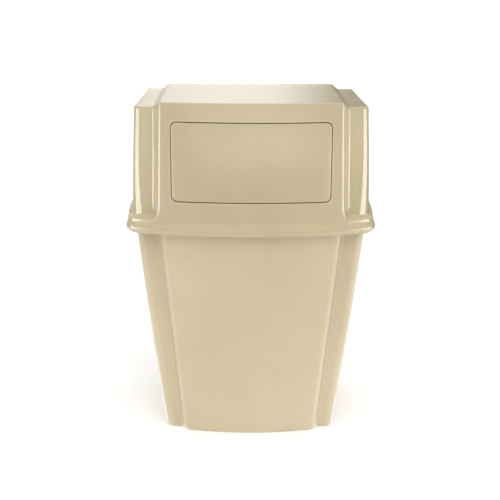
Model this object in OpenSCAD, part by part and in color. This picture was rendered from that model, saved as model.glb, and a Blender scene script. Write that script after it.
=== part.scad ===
/* [Hood] */
// Height of the hood above the container's mouth
hood_h = 202; // [190:1:225]
// How far the top of the shoulders lies below the top of the raised panel
shoulder_drop = 9.5; // [7:0.5:12]
// Width across the shoulders, at their top
shoulder_w = 395; // [385:1:405]
// Depth of the whole bin, from the wall plane to the foremost point of the hood's rim
bin_depth = 306.6; // [290:0.2:320]
// Width of the raised panel, at the top of its front
panel_w = 305.5; // [295:0.5:315]
// How far the corners of the raised panel stand in front of the shoulders
panel_step = 17; // [14:0.5:20]
// Rise of the panel's bowed front, from its corners to its middle
panel_bow = 16; // [10:0.5:20]
// Width of the sloping side between the shoulders and the raised panel
panel_bevel = 11; // [8:0.5:13]
// How much further out each side of the panel lies at the wall than at the front
panel_spread = 5; // [0:0.5:7]
// Draft of the hood's front and sides, in degrees
hood_draft = 2.3; // [1.5:0.1:2.8]
// Draft of the raised panel's sides, in degrees
panel_draft = 1.35; // [1:0.05:1.8]
// Wall thickness of the hood
hood_wall = 3; // [2.5:0.1:3.5]
// Radius of the hood's upright front corners
corner_r = 12; // [8:0.5:15]
// Radius of the hood's top edges
edge_r = 3; // [1:0.5:4]

/* [Rim] */
// Height of the container's mouth, on which the hood rests
seat_z = 415; // [405:1:425]
// Width of the hood's rim over its ledge
rim_w = 426; // [424:1:432]
// Radius of the rim's front corners, seen from above
rim_r = 20; // [14:0.5:24]
// How far the rim hangs below the container's mouth
rim_hang = 24; // [18:0.5:30]
// Height of the rim's bead above its lower edge
bead_up = 11; // [8:0.5:13]
// How far the rim's rounded bead stands proud of its ledge
bead_out = 3.5; // [2:0.25:4]
// How far the rim's lower edge is drawn in
rim_tuck = 2; // [1:0.25:2.5]
// Height of the rounding between the rim's lower edge and its bead
rim_round = 3; // [2:0.25:4]
// Height of the ledge's outer edge above the mouth
ledge_rise = 5; // [4:0.5:6]
// Height of the slope between the ledge's outer edge and the hood's wall
ledge_h = 12; // [8:0.5:15]

/* [Container] */
// Width of the container at its base
base_w = 314; // [300:1:330]
// Width of the container at its mouth
mouth_w = 400.5; // [392:0.5:402]
// Distance from the wall plane to the front corners of the base
base_depth = 222; // [210:0.5:232]
// How far the front corners of the mouth lie behind the foremost point of the hood's rim
mouth_back = 42.6; // [41.6:0.2:48]
// Width of the front panel at the base
base_panel_w = 229; // [215:1:240]
// Width of the front panel at the mouth
mouth_panel_w = 304; // [290:1:310]
// How far the front panel's corners stand proud at the base
base_step = 13.3; // [10:0.1:16]
// How far the front panel's corners stand proud at the mouth
mouth_step = 16; // [13:0.5:17]
// Rise of the front panel's bow at the base
base_bow = 14; // [10:0.5:16]
// Rise of the front panel's bow at the mouth
mouth_bow = 15; // [10:0.5:16]
// Width of the sloping side between the corners and the front panel
tub_bevel = 11.5; // [8:0.5:13]
// How far the sides swell outwards at half height
side_crown = 1.8; // [0:0.1:2.5]
// Radius of the base's front corners, seen from above
base_r = 20; // [14:0.5:26]
// Radius of the mouth's front corners, seen from above
mouth_r = 14; // [10:0.5:18]
// Wall thickness of the container
tub_wall = 3; // [2.5:0.1:4]
// Thickness of the container's floor
tub_floor = 3.5; // [2.5:0.1:5]
// Radius between the base and the walls
foot_r = 4; // [2:0.5:6]
// Thickness of the lip round the mouth
lip_t = 3; // [2:0.1:4]
// Height of the lip's turned-down edge
lip_h = 14; // [8:0.5:18]
// Clearance between the lip and the inside of the hood's rim
lip_gap = 1.5; // [1:0.1:2]

/* [Wall fixing] */
// Diameter of the screw holes in the back
hole_d = 6.5; // [4:0.1:8]
// Distance between the holes across the back
hole_span_x = 180; // [120:1:220]
// Distance between the upper and the lower holes
hole_span_z = 120; // [80:1:160]
// Distance of the upper holes below the mouth
hole_drop = 45; // [35:1:60]
// Diameter of the thickened pad round each hole
pad_d = 24; // [16:0.5:30]
// How far the pads stand up from the inside of the back
pad_t = 2; // [1:0.1:4]

/* [Door] */
// Width of the door's opening
opening_w = 271.5; // [250:0.5:280]
// Height of the door's opening
opening_h = 136.5; // [120:0.5:145]
// Distance of the opening's top below the top of the hood
opening_drop = 30.5; // [29:0.5:36]
// Radius of the opening's corners
opening_r = 11; // [6:0.5:16]
// Gap all round between the door and its opening
door_gap = 2.5; // [2:0.1:3]
// Thickness of the door
door_t = 3; // [2:0.1:3.5]
// How far the door's stop flange laps behind the hood, at the sides and the bottom
flange_lap = 6; // [4:0.5:8]
// Thickness of the stop flange
flange_t = 2.5; // [2:0.1:3]
// Distance between the stop flange and the back of the hood's front
flange_gap = 2.2; // [2:0.1:3]
// Width of the frame that joins the stop flange to the door
frame_w = 4; // [3:0.5:6]
// Diameter of the rubber stop pads
stop_d = 5; // [3:0.5:5]
// Clearance between a stop pad and the hood when the door is shut
stop_gap = 0.3; // [0.2:0.05:0.5]
// Distance of the stop pads below the middle of the opening
stop_down = 34; // [20:1:40]

/* [Hinge] */
// Diameter of the hinge rod
rod_d = 6; // [5:0.5:7]
// Running clearance between the rod and the door's ears, on the radius
rod_fit = 0.08; // [0.05:0.01:0.1]
// Distance of the rod behind the middle of the panel's face, at the opening's top
rod_back = 40; // [38:0.5:44]
// Height of the rod above the top of the opening
rod_up = 5.5; // [4:0.5:7]
// Clearance between each spring and the door ear beside it
ear_gap = 1; // [0.5:0.1:4]
// Thickness of the door's ears
ear_t = 5; // [4:0.5:6]
// Radius of the boss on each ear
ear_r = 7; // [6:0.5:8]
// Distance of each ear's root below the top of the door
ear_drop = 4; // [2:0.5:8]
// Height of each ear where it joins the door
ear_h = 30; // [20:1:40]
// Thickness of the steel hinge brackets
bracket_t = 2; // [1.5:0.1:3]
// Distance from the middle of the bin to the inner face of each bracket's upright
bracket_x = 130; // [126:0.5:132]
// Radius of each bracket's round end about the rod
bracket_r = 8; // [7:0.5:9]
// Width of the bracket's foot along the rod
foot_w = 30; // [24:1:32]
// Depth of the bracket's foot
foot_d = 40; // [34:1:44]
// Distance of the middle of the bracket's foot behind the rod
foot_back = 6; // [4:0.5:8]
// Distance between the rod's centre and the underside of the bracket's foot
foot_up = 11; // [10:0.5:12]
// Distance between the two screws of a bracket
screw_span = 24; // [20:0.5:28]
// Diameter of the screws
screw_d = 4; // [3:0.1:5]
// Diameter of the screw heads
screw_head_d = 8; // [7:0.1:9]
// Height of the screw heads
screw_head_h = 2.4; // [2:0.1:3]
// Diameter of the moulded screw bosses
boss_d = 10; // [8:0.5:12]
// Clearance of the rod and the screws in their fixed holes, on the radius
fixed_fit = 0.05; // [0.02:0.01:0.1]
// Clearance between a screw's tip and the bottom of its hole
tip_gap = 0.5; // [0.3:0.1:1]
// Diameter of the push-on clips at the rod's ends
clip_d = 12; // [10:0.5:14]
// Length of a clip
clip_l = 7; // [5:0.5:9]
// Clearance between a clip and its bracket
clip_gap = 0.3; // [0.2:0.05:0.5]
// How far the rod reaches into a clip
clip_depth = 4; // [3:0.5:4.5]

/* [Springs] */
// Diameter of the spring wire
wire_d = 1.8; // [1.2:0.1:2]
// Clearance between the coil and the rod, on the radius
coil_gap = 0.7; // [0.5:0.1:1]
// Length of each turn along the rod
coil_pitch = 2.3; // [2.25:0.05:2.4]
// Number of whole turns in each coil
coil_turns = 6; // [4:1:6]
// Clearance between a leg's end and what it presses on
leg_gap = 0.3; // [0.2:0.05:0.5]
// How far below the rod the long leg meets the door
leg_down = 24; // [16:0.5:30]
// Angle between the short leg and the bracket's foot, in degrees
short_lean = 30; // [20:1:40]

/* [Hidden] */

plastic = [0.82, 0.76, 0.64];
steel = [0.72, 0.73, 0.74];
rubber = [0.16, 0.16, 0.17];
$fn = 64;
// Faces round each corner and across each bowed front
corner_steps = 8;
bow_steps = 24;
// How far a cut runs past the face that it opens
cut = 1;
// A rounded edge is drawn by its ends and its middle, which lies this share of the radius in
mid_round = 1 - cos(45);

// Radius of the panel's bowed front
bow_r = (pow(panel_w / 2, 2) + pow(panel_bow, 2)) / (2 * panel_bow);
total_h = seat_z + hood_h;
shoulder_z = total_h - shoulder_drop;
rim_z = seat_z - rim_hang;
ledge_z = seat_z + ledge_rise;
wall_face_z = ledge_z + ledge_h;
bead_z = rim_z + bead_up;
// The rim's bead is the foremost point, and the origin is midway between it and the wall
wall_y = bin_depth / 2;
mouth_depth = bin_depth - mouth_back;
// Distance from the wall plane to the face of the shoulders, at their top
shoulder_depth = bin_depth - bead_out - (total_h - bead_z) * tan(hood_draft) - panel_bow - panel_step;

function blend(a, b, t) = a + (b - a) * t;
function arc(cx, cy, r, from, to, steps) =
    [for (i = [0:steps]) let (a = blend(from, to, i / steps)) [cx + r * cos(a), cy + r * sin(a)]];
function unit(v) = v / norm(v);
function inner_points(list) = [for (i = [1:len(list) - 2]) list[i]];

// A closed skin through rings of points, the lowest ring first
module skin(rings, heights) {
    n = len(rings[0]);
    levels = len(rings);
    points = [for (k = [0:levels - 1]) for (p = rings[k]) [p[0], p[1], heights[k]]];
    sides = [for (k = [0:levels - 2]) for (i = [0:n - 1])
        let (a = k * n + i, b = k * n + (i + 1) % n) each [[a, a + n, b + n], [a, b + n, b]]];
    floor_face = [for (i = [0:n - 1]) i];
    roof_face = [for (i = [n - 1:-1:0]) (levels - 1) * n + i];
    polyhedron(points, concat([floor_face], sides, [roof_face]), convexity = 8);
}

// Places on the hood at a height z
function shoulder_half(z) = shoulder_w / 2 + (shoulder_z - z) * tan(hood_draft);
function shoulder_y(z) = wall_y - shoulder_depth - (shoulder_z - z) * tan(hood_draft);
function panel_half(z) = panel_w / 2 + (total_h - z) * tan(panel_draft);
function face_y(z) = wall_y - shoulder_depth - panel_step - panel_bow - (total_h - z) * tan(hood_draft);
function bow_y(z, x, inset = 0) =
    face_y(z) + bow_r - sqrt(pow(bow_r - inset, 2) - x * x);

// The raised panel in plan: a bowed front with sloping sides down to the shoulders
function panel_ring(z, inset, back) =
    let (half = panel_half(z) - inset,
        rise = max(0, min(1, (z + inset - shoulder_z) / shoulder_drop)),
        slope = panel_bevel * (1 - rise),
        y = shoulder_y(min(z, shoulder_z)) + inset,
        spread = panel_spread * panel_step / shoulder_depth)
    concat([[-(half + panel_spread + slope), back], [-(half + spread + slope), y]],
        [for (i = [0:bow_steps]) let (x = half * (2 * i / bow_steps - 1)) [x, bow_y(z, x, inset)]],
        [[half + spread + slope, y], [half + panel_spread + slope, back]]);

// A rectangle with a bowed front and round front corners
function bowed_ring(half, front, radius, back, bow = bow_r) =
    let (centre = front + bow, fx = half - radius,
        fy = centre - sqrt(pow(bow - radius, 2) - fx * fx),
        turn = 360 + atan2(fy - centre, -fx))
    concat([[-half, back]],
        arc(-fx, fy, radius, 180, turn, corner_steps),
        inner_points(arc(0, centre, bow, turn, 540 - turn, bow_steps)),
        arc(fx, fy, radius, 540 - turn, 360, corner_steps),
        [[half, back]]);

// The raised panel as a solid, inset on all sides but the wall's
module panel_block(inset, bottom, back, round = 0) {
    top = total_h - inset;
    below = [bottom, shoulder_z - inset];
    heights = concat(below, round > 0 ? [top - round, top - round * mid_round] : [], [top]);
    insets = concat([inset, inset], round > 0 ? [inset, inset + round * mid_round] : [], [inset + round]);
    skin([for (i = [0:len(heights) - 1]) panel_ring(heights[i], insets[i], back)], heights);
}

// The ledge at three depths below its edge, and how far out it stands at the sides and the front
ledge_depths = [9, 3, 0];
ledge_sides = [1, 0.3, -1];
ledge_fronts = [1.5, 0.6, -1.5];
// The rim's profile: height, how far out at the sides, how far out at the front
rim_levels = concat([
    [rim_z, -rim_tuck, -rim_tuck],
    [rim_z + rim_round, bead_out - rim_round / 2, bead_out - rim_round / 2],
    [bead_z, bead_out, bead_out]],
    [for (i = [0:2]) [ledge_z - ledge_depths[i], ledge_sides[i], ledge_fronts[i]]]);

// The shoulders in plan at a height z: a front with too large a bow radius to curve, and round corners
flat = 100000;
function shoulder_ring(z, inset, back) =
    bowed_ring(shoulder_half(z) - inset, shoulder_y(z) + inset, max(corner_r - inset, 1), back, flat);

// The rim, the slope above its ledge, and the shoulders
module outer_body() {
    tops = [wall_face_z, shoulder_z - edge_r, shoulder_z - edge_r * mid_round, shoulder_z];
    insets = [0, 0, edge_r * mid_round, edge_r];
    skin(concat(
        [for (l = rim_levels) bowed_ring(rim_w / 2 + l[1], face_y(l[0]) - l[2], rim_r + l[1], wall_y)],
        [for (i = [0:3]) shoulder_ring(tops[i], insets[i], wall_y)]),
        concat([for (l = rim_levels) l[0]], tops));
}

module inner_body(back) {
    heights = [seat_z - cut, shoulder_z - hood_wall];
    skin([for (z = heights) shoulder_ring(z, hood_wall, back)], heights);
}

// The hollow under the rim, which takes the container's lip and is open at the wall
module rim_hollow() {
    half = rim_w / 2 - hood_wall;
    ring = bowed_ring(half, face_y(seat_z) + hood_wall, rim_r - hood_wall, wall_y + cut);
    skin([ring, ring], [rim_z - cut, seat_z]);
}

// A rectangle with round corners, made of squares and circles
module round_rect(w, h, r) {
    square([w - 2 * r, h], center = true);
    square([w, h - 2 * r], center = true);
    for (x = [-1, 1], y = [-1, 1]) translate([x * (w / 2 - r), y * (h / 2 - r)]) circle(r);
}

opening_top = total_h - opening_drop;
opening_z = opening_top - opening_h / 2;

// A prism through the hood's front, grown or shrunk from the opening
module opening_prism(grow, trim_top = 0) {
    translate([0, wall_y - shoulder_depth / 2, opening_z]) rotate([90, 0, 0])
        linear_extrude(shoulder_depth) intersection() {
            round_rect(opening_w + 2 * grow, opening_h + 2 * grow, opening_r + grow);
            translate([0, -trim_top]) square([opening_w * 2, opening_h + 2 * grow], center = true);
        }
}

rod_y = face_y(opening_top) + rod_back;
rod_z = opening_top + rod_up;
foot_z = rod_z + foot_up;
inner_top = total_h - hood_wall;
boss_len = inner_top - foot_z - bracket_t;
foot_mid_x = bracket_x + bracket_t - foot_w / 2;
foot_mid_y = rod_y + foot_back;

// Torsion springs between the brackets and the ears: a short leg under the bracket's
// foot, a coil round the rod, and a long leg that presses on the back of the door
coil_r = rod_d / 2 + coil_gap + wire_d / 2;
coil_rings = 8;
coil_out = bracket_x - wire_d / 2 - leg_gap;
door_back = rod_y - bow_y(rod_z - leg_down, bracket_x, door_t) - wire_d / 2 - leg_gap;
leg_touch = atan2(-leg_down, -door_back) - acos(coil_r / norm([door_back, leg_down]));
short_touch = 90 + short_lean;
short_len = (foot_up - wire_d / 2 - leg_gap - coil_r * sin(short_touch)) / sin(short_lean);
coil_sweep = 360 * (coil_turns + 1) + leg_touch - short_touch;
coil_len = coil_pitch * coil_sweep / 360;
ear_x = coil_out - coil_len - wire_d / 2 - ear_gap - ear_t / 2;

function coil_point(t) =
    let (a = short_touch + coil_sweep * t)
    [coil_out - coil_len * t, coil_r * cos(a), coil_r * sin(a)];
coil_steps = ceil(coil_rings * coil_sweep / 360);
coil = [for (i = [0:coil_steps]) coil_point(i / coil_steps)];
short_way = [0, cos(short_lean), sin(short_lean)];
coil_end = coil[coil_steps];
leg_tip = [coil_end[0], -door_back, -leg_down];
spring_path = concat(
    [coil[0] + short_len * short_way, coil[0] + wire_d * short_way],
    coil,
    [coil_end + wire_d * unit(leg_tip - coil_end), leg_tip]);

// A tube of six sides along a path that lies mostly across the X axis
module tube(path, r) {
    n = len(path);
    rings = [for (i = [0:n - 1])
        let (t = unit(path[min(i + 1, n - 1)] - path[max(i - 1, 0)]),
            u = unit(cross(t, [1, 0, 0])),
            w = cross(t, u))
        [for (k = [0:5]) path[i] + r * (cos(60 * k) * u + sin(60 * k) * w)]];
    points = [for (ring = rings) each ring];
    sides = [for (i = [0:n - 2]) for (k = [0:5])
        let (a = i * 6 + k, b = i * 6 + (k + 1) % 6) each [[a, a + 6, b + 6], [a, b + 6, b]]];
    polyhedron(points, concat([[0, 1, 2, 3, 4, 5]], sides, [[for (k = [5:-1:0]) (n - 1) * 6 + k]]));
}

module at_screws(side) {
    for (k = [-1, 1]) translate([side * foot_mid_x, foot_mid_y + k * screw_span / 2, 0]) children();
}

module hood_shell() {
    color(plastic) {
        difference() {
            union() {
                outer_body();
                panel_block(0, bead_z, wall_y, edge_r);
            }
            inner_body(wall_y - hood_wall);
            panel_block(hood_wall, seat_z - cut, wall_y - hood_wall);
            rim_hollow();
            opening_prism(0);
        }
        for (side = [-1, 1]) screw_bosses(side);
    }
}

// Bosses under the top of the hood, with blind pilot holes for the bracket screws
module screw_bosses(side) {
    at_screws(side) translate([0, 0, foot_z + bracket_t]) difference() {
        cylinder(h = boss_len + hood_wall / 2, d = boss_d);
        translate([0, 0, -cut]) cylinder(h = boss_len + cut, r = screw_d / 2 + fixed_fit);
    }
}

// The container in plan at a height z, inset on all sides
function tub_ring(z, inset, back) =
    let (t = z / seat_z,
        half = blend(base_w, mouth_w, t) / 2 + side_crown * 4 * t * (1 - t) - inset,
        y = wall_y - blend(base_depth, mouth_depth, t) + inset,
        r = blend(base_r, mouth_r, t) - inset,
        panel = blend(base_panel_w, mouth_panel_w, t) / 2 - inset / 2,
        step = blend(base_step, mouth_step, t),
        bow = blend(base_bow, mouth_bow, t),
        big = (panel * panel + bow * bow) / (2 * bow),
        front = y - step - bow)
    concat([[-half, back]],
        arc(-(half - r), y + r, r, 180, 270, corner_steps),
        [[-(panel + tub_bevel), y]],
        [for (i = [0:bow_steps]) let (x = panel * (2 * i / bow_steps - 1))
            [x, front + big - sqrt(big * big - x * x)]],
        [[panel + tub_bevel, y]],
        arc(half - r, y + r, r, 270, 360, corner_steps),
        [[half, back]]);

side_levels = [0.25, 0.5, 0.75, 1];

module tub_outside() {
    heights = concat([0, foot_r * mid_round, foot_r], seat_z * side_levels);
    insets = [foot_r, foot_r * mid_round, 0, 0, 0, 0, 0];
    skin([for (i = [0:len(heights) - 1]) tub_ring(heights[i], insets[i], wall_y)], heights);
}

module tub_inside() {
    heights = concat([tub_floor], seat_z * inner_points(concat([0], side_levels)), [seat_z + cut]);
    skin([for (z = heights) tub_ring(z, tub_wall, wall_y - tub_wall)], heights);
}

// The lip stands out from the mouth and turns down, and is open at the wall
module lip() {
    half = rim_w / 2 - hood_wall - lip_gap;
    front = face_y(seat_z) + hood_wall + lip_gap;
    r = rim_r - hood_wall - lip_gap;
    outer = bowed_ring(half, front, r, wall_y);
    under = bowed_ring(half - tub_wall, front + tub_wall, r - tub_wall, wall_y + cut);
    difference() {
        skin([outer, outer], [seat_z - lip_h, seat_z]);
        skin([under, under], [seat_z - lip_h - cut, seat_z - lip_t]);
    }
}

module at_wall_holes() {
    for (x = [-1, 1], k = [0, 1])
        translate([x * hole_span_x / 2, wall_y, seat_z - hole_drop - k * hole_span_z])
            rotate([90, 0, 0]) children();
}

module container() {
    color(plastic) difference() {
        union() {
            difference() {
                union() {
                    tub_outside();
                    lip();
                }
                tub_inside();
            }
            at_wall_holes() cylinder(h = tub_wall + pad_t, d = pad_d);
        }
        at_wall_holes() translate([0, 0, -cut]) cylinder(h = tub_wall + pad_t + 2 * cut, d = hole_d);
    }
}

// A layer of the panel's front between two depths behind its face
module front_layer(near, far) {
    difference() {
        panel_block(near, rim_z, wall_y);
        panel_block(far, rim_z - cut, wall_y + cut);
    }
}

flange_near = hood_wall + flange_gap;
flange_far = flange_near + flange_t;

// The ear in side view, from the rod's centre, so the door hangs from its top corners
module ear_profile() {
    reach = rod_y - bow_y(opening_top, ear_x) - door_t / 2;
    root_top = -(rod_up + door_gap + ear_drop);
    root_low = root_top - ear_h;
    polygon([[-reach, root_top], [-reach, root_low], [-reach + door_t, root_low],
        [ear_r * cos(45), -ear_r * sin(45)], [0, ear_r], [-ear_r, 0]]);
    circle(ear_r);
}

module ear(side) {
    translate([side * ear_x - ear_t / 2, rod_y, rod_z]) rotate([90, 0, 90]) linear_extrude(ear_t)
        ear_profile();
}

module door_panel() {
    color(plastic) difference() {
        union() {
            intersection() {
                front_layer(0, door_t);
                opening_prism(-door_gap);
            }
            intersection() {
                front_layer(door_t / 2, flange_far);
                difference() {
                    opening_prism(-door_gap, frame_w);
                    opening_prism(-door_gap - frame_w);
                }
            }
            intersection() {
                front_layer(flange_near, flange_far);
                difference() {
                    opening_prism(flange_lap, flange_lap + door_gap + frame_w);
                    opening_prism(-door_gap - frame_w);
                }
            }
            for (side = [-1, 1]) ear(side);
        }
        for (side = [-1, 1]) translate([side * ear_x - ear_t / 2 - cut, rod_y, rod_z])
            rotate([0, 90, 0]) cylinder(h = ear_t + 2 * cut, r = rod_d / 2 + rod_fit);
    }
}

clip_in = bracket_x + bracket_t + clip_gap;
rod_half = clip_in + clip_depth;

module hinge_rod() {
    color(steel) translate([-rod_half, rod_y, rod_z]) rotate([0, 90, 0])
        cylinder(h = 2 * rod_half, d = rod_d);
}

// An upright with the rod's hole and a foot that is screwed up against the bosses
module hinge_bracket(side) {
    upright_x = side * (bracket_x + bracket_t / 2) - bracket_t / 2;
    color(steel) difference() {
        union() {
            translate([side * foot_mid_x - foot_w / 2, foot_mid_y - foot_d / 2, foot_z])
                cube([foot_w, foot_d, bracket_t]);
            translate([upright_x, rod_y - bracket_r, rod_z])
                cube([bracket_t, 2 * bracket_r, foot_up + bracket_t / 2]);
            translate([upright_x, rod_y, rod_z]) rotate([0, 90, 0])
                cylinder(h = bracket_t, r = bracket_r);
        }
        translate([upright_x - cut, rod_y, rod_z]) rotate([0, 90, 0])
            cylinder(h = bracket_t + 2 * cut, r = rod_d / 2 + fixed_fit);
        at_screws(side) translate([0, 0, foot_z - cut])
            cylinder(h = bracket_t + 2 * cut, r = screw_d / 2 + fixed_fit);
    }
}
module hinge_bracket_left() hinge_bracket(-1);
module hinge_bracket_right() hinge_bracket(1);

module bracket_screws() {
    color(steel) for (side = [-1, 1]) at_screws(side) {
        translate([0, 0, foot_z - screw_head_h]) cylinder(h = screw_head_h, d = screw_head_d);
        translate([0, 0, foot_z - screw_head_h / 2])
            cylinder(h = screw_head_h / 2 + bracket_t + boss_len - tip_gap, d = screw_d);
    }
}

module rod_clip(side) {
    color(steel) translate([side * clip_in, rod_y, rod_z]) rotate([0, side * 90, 0]) difference() {
        cylinder(h = clip_l, d = clip_d);
        translate([0, 0, -cut]) cylinder(h = rod_half - clip_in + cut, d = rod_d);
    }
}
module rod_clip_left() rod_clip(-1);
module rod_clip_right() rod_clip(1);

// A rubber pad on the stop flange, which meets the back of the hood's front
stop_x = opening_w / 2 + flange_lap / 2;
stop_z = opening_z - stop_down;
module stop_pad(side) {
    color(rubber) intersection() {
        front_layer(hood_wall + stop_gap, flange_near);
        translate([side * stop_x, wall_y - shoulder_depth / 2, stop_z]) rotate([90, 0, 0])
            cylinder(h = shoulder_depth, d = stop_d);
    }
}
module stop_pad_left() stop_pad(-1);
module stop_pad_right() stop_pad(1);

module torsion_spring_right() {
    color(steel) translate([0, rod_y, rod_z]) tube(spring_path, wire_d / 2);
}
module torsion_spring_left() mirror([1, 0, 0]) torsion_spring_right();

// The least gap between two turns, measured on points at least half a turn apart
last_point = len(spring_path) - 1;
spring_gap = min([for (i = [0:last_point]) for (j = [i + coil_rings / 2 + 1:1:last_point])
    norm(spring_path[i] - spring_path[j])]) - wire_d;
echo(spring_gap = spring_gap);

container();
hood_shell();
door_panel();
hinge_rod();
hinge_bracket_left();
hinge_bracket_right();
bracket_screws();
torsion_spring_left();
torsion_spring_right();
rod_clip_left();
rod_clip_right();
stop_pad_left();
stop_pad_right();
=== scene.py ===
import math

import bmesh
import bpy
from mathutils import Matrix, Vector


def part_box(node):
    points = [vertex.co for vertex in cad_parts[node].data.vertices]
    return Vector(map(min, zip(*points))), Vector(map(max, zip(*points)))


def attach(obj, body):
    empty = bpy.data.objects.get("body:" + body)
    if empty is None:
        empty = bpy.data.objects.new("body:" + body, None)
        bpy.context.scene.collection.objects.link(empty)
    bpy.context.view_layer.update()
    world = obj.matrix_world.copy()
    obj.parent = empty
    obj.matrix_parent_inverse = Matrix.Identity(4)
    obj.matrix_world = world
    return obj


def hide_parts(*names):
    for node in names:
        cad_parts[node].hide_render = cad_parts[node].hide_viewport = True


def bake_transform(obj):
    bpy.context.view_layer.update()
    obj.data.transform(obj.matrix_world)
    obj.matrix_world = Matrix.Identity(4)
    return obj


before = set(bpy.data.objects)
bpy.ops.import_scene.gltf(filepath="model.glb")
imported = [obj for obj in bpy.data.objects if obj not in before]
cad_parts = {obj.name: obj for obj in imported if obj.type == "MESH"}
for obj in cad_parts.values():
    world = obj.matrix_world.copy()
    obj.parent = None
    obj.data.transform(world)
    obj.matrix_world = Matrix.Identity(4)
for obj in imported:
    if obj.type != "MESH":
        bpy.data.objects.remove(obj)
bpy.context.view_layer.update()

# A hooded trash can: a tapered container that can hang on a wall, a hood that lifts off, and a sprung door.
# Lengths are in millimetres until a piece is finished, and in metres for the floor, lights and camera
MM = 0.001


def in_mm(node):
    """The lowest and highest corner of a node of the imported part, in millimetres."""
    low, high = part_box(node)
    return low / MM, high / MM


HOOD_LOW, HOOD_HIGH = in_mm("hood_shell")
ROD_LOW, ROD_HIGH = in_mm("hinge_rod")
ROD = (ROD_LOW + ROD_HIGH) / 2
WALL_Y = HOOD_HIGH.y
TOP_Z = HOOD_HIGH.z
RIM_Z = HOOD_LOW.z
SEAT_Z = in_mm("container")[1].z

# The hood: its shoulders, and the raised bowed panel between them with its sloping returns
SHOULDER_DROP = 9.5
SHOULDER_W = 395
PANEL_W = 305.5
PANEL_STEP = 17
PANEL_BOW = 16
PANEL_BEVEL = 11
PANEL_SPREAD = 5
TOP_BEVEL = 10
HOOD_DRAFT = math.tan(math.radians(2.3))
PANEL_DRAFT = math.tan(math.radians(1.35))
HOOD_WALL = 2.6
EDGE_R = 3
FILLET = 3
HOOD_CUT_R = 0.8
SHOULDER_Z = TOP_Z - SHOULDER_DROP
BOW_R = ((PANEL_W / 2) ** 2 + PANEL_BOW ** 2) / (2 * PANEL_BOW)

# The hood's upright corners: they grow over a height below GROWTH_TOP, and are rounder again at the rim
CORNER_R = 14
CORNER_GROWTH = 9
GROWTH_TOP, GROWTH_H = TOP_Z - 77, 110
RIM_CORNER_R = 31

# The hood's rim: a bead, and a sloping ledge above it
BEAD_OUT = 3.5
RIM_TUCK = 2
RIM_W = 2 * (HOOD_HIGH.x - BEAD_OUT)
RIM_FOOT = RIM_Z + 1.3
BEAD_Z = RIM_Z + 11
SWELL_TOP = BEAD_Z + 13
LEDGE_Z = SEAT_Z + 3.5
LEDGE_SLOPE = 2.2
LEDGE_FILLET = 2.4
FACE_DEPTH = 2 * WALL_Y - BEAD_OUT - (TOP_Z - BEAD_Z) * HOOD_DRAFT
SHOULDER_DEPTH = FACE_DEPTH - PANEL_BOW - PANEL_STEP

# The point that each return ends in on the ledge. Below TIP_LEAST of its height it gets no steeper, and
# its fillet fades out over the lowest part, 1 / TIP_FADE of its height.
TIP_H = 17
TIP_PLACE = 0.55
TIP_LEAST = 0.35
TIP_FADE = 3

# The side's flare behind the corner. Its full width lies FLARE_RUN behind the corner's centre, after a slope
# of FLARE_TURN in the plan. It starts on the corner's arc, at FLARE_START of its radius before the centre,
# and its fillet is full where it stands out by FLARE_FULL.
FLARE_LOW, FLARE_TOP = SEAT_Z + 9, SEAT_Z + 31
FLARE_OUT = 1.3
FLARE_RUN, FLARE_TURN = 16, 0.6
FLARE_START = 0.42
FLARE_FULL = 4

# The door and its opening
OPENING_HALF_W = 271.5 / 2
OPENING_H = 136.5
OPENING_TOP = TOP_Z - 30.5
OPENING_Z = OPENING_TOP - OPENING_H / 2
OPENING_R = 11
DOOR_GAP = 2.5
# How much further into the gap the opening's edge and the door's edge each reach than in the solids
GAP_TRIM = 0.45
DOOR_EDGE_R = 2.4
DOOR_CUT_R = 1.1
DOOR_T = 3
PLATE_STRIP = 4
FRAME_W = 4
FRAME_ROOT = 0.4
# The stop flange laps behind the hood. It starts this far behind the door's face.
FLANGE_NEAR = 5.2
FLANGE_LAP = 6
FLANGE_T = 2.5
# The ears that the rod passes through
EAR_X = 110.46
EAR_R = 7
EAR_BORE_R = 3.08
EAR_T = 5
EAR_ROOT = 30

# The container
BASE_W, MOUTH_W = 314, 400.5
BASE_DEPTH, MOUTH_DEPTH = 222, 264
BASE_PANEL_W, MOUTH_PANEL_W = 235, 310
BASE_STEP, MOUTH_STEP = 13.3, 16
BASE_BOW, MOUTH_BOW = 14, 15
BASE_R, MOUTH_R = 20, 14
TUB_BEVEL = 9
TUB_EDGE_R, TUB_HOLLOW_R = 7.5, 2
SIDE_CROWN = 1.8
TUB_WALL = 3
FOOT_R = 4
TUB_FLOOR = 3.5
FLOOR_R = 3
TUB_CUT_R = 0.7
LIP_H = 14
LIP_T = 3
LIP_R = 1.2
LIP_OUT = 4.5
LIP_CORNER_R = 30
# The groove behind the lip's edge starts where it would be this wide, and deepens over this much more
GROOVE_LEAST, GROOVE_FADE = 0.5, 4
HOLE_R = 3.25
HOLE_CHAMFER = 0.5
HOLE_SPAN_X, HOLE_SPAN_Z = 180, 120
HOLE_DROP = 45
PAD_R = 12
PAD_T = 2
PAD_EDGE = 0.6
hole_places = [(x * HOLE_SPAN_X / 2, SEAT_Z - HOLE_DROP - k * HOLE_SPAN_Z) for x in (-1, 1) for k in (0, 1)]

# The springs, their axis on the rod
WIRE_R = 0.9
COIL_R = 4.6
COIL_OUT = 128.8
COIL_PITCH = 2.3
COIL_TURNS = 6
COIL_STEPS = 24
SHORT_LEAN = math.radians(30)
FOOT_UP = 11
LEG_DOWN = 24
LEG_GAP = 0.3
WIRE_SIDES = 14
# Over this length the wire's ends are drawn in to this share of its radius
WIRE_TIP, WIRE_TIP_SHARE = 0.3, 0.65

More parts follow.
